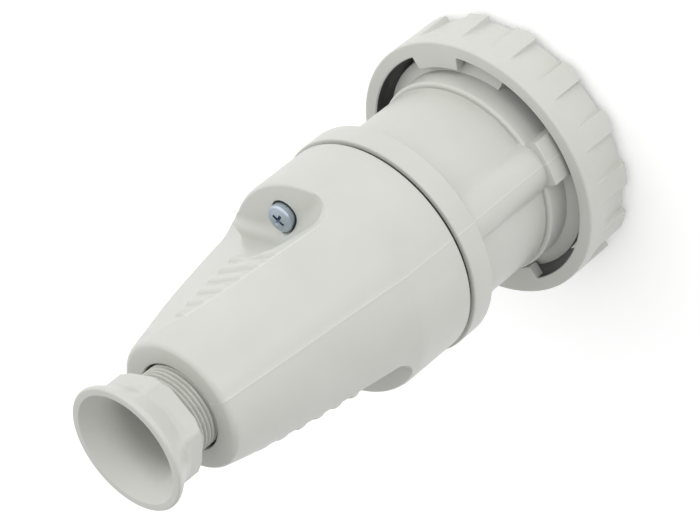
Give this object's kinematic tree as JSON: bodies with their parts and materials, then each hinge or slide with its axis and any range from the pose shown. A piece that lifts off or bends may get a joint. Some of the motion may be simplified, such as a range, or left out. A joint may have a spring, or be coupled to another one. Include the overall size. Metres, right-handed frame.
{
  "type": "industrial cable plug",
  "caption": "Watertight industrial cable plug: contact pins in a round shroud, a bayonet coupling ring, a conical cable hood with screw shelves and a bell-mouthed gland nut.",
  "frame": {"origin": "centre of the shroud's rim, on the surface that the plug stands on", "axes": "+Z along the plug's axis, from the pins to the cable; the key is towards -Y, the housing screws are towards +X and -X"},
  "size_m": [0.0912, 0.0912, 0.1824],
  "materials": {
    "housing_plastic": "light grey moulded polyamide, semi-matte",
    "carrier_plastic": "dark grey moulded polyamide",
    "seal_rubber": "black rubber",
    "contact_brass": "turned brass",
    "zinc_steel": "bright zinc-plated steel"
  },
  "bodies": {
    "body": {"front_housing": "housing_plastic", "contact_carrier": "carrier_plastic", "carrier_gasket": "seal_rubber", "carrier_screws": "zinc_steel", "pin_earth": "contact_brass", "pin_neutral": "contact_brass", "pin_l1": "contact_brass", "pin_l2": "contact_brass", "pin_l3": "contact_brass", "terminal_screws": "zinc_steel", "pressure_pads": "zinc_steel", "housing_inserts": "contact_brass", "hood_gasket": "seal_rubber", "hood": "housing_plastic", "screw_seals": "seal_rubber", "housing_screws": "zinc_steel", "cable_seal": "seal_rubber"},
    "ring": {"coupling_ring": "housing_plastic"},
    "washer": {"slip_washer": "carrier_plastic"},
    "nut": {"gland_nut": "housing_plastic"}
  },
  "joints": [
    {"name": "ring_turn", "type": "hinge", "parent": "body", "child": "ring", "pos_m": [0, 0, 0.01182], "axis": [0, 0, 1], "range_deg": [-54, 74]},
    {"name": "washer_slide", "type": "slide", "parent": "body", "child": "washer", "axis": [0, 0, 1], "range_m": [-0.0045, 0.003]},
    {"name": "nut_turn", "type": "hinge", "parent": "washer", "child": "nut", "pos_m": [0, 0, 0.1475], "axis": [0, 0, 1], "range_deg": [-1080, 720]}
  ],
  "couplings": [
    {"joint": "washer_slide", "follows": "nut_turn", "m_per_rad": 0.00023873}
  ]
}
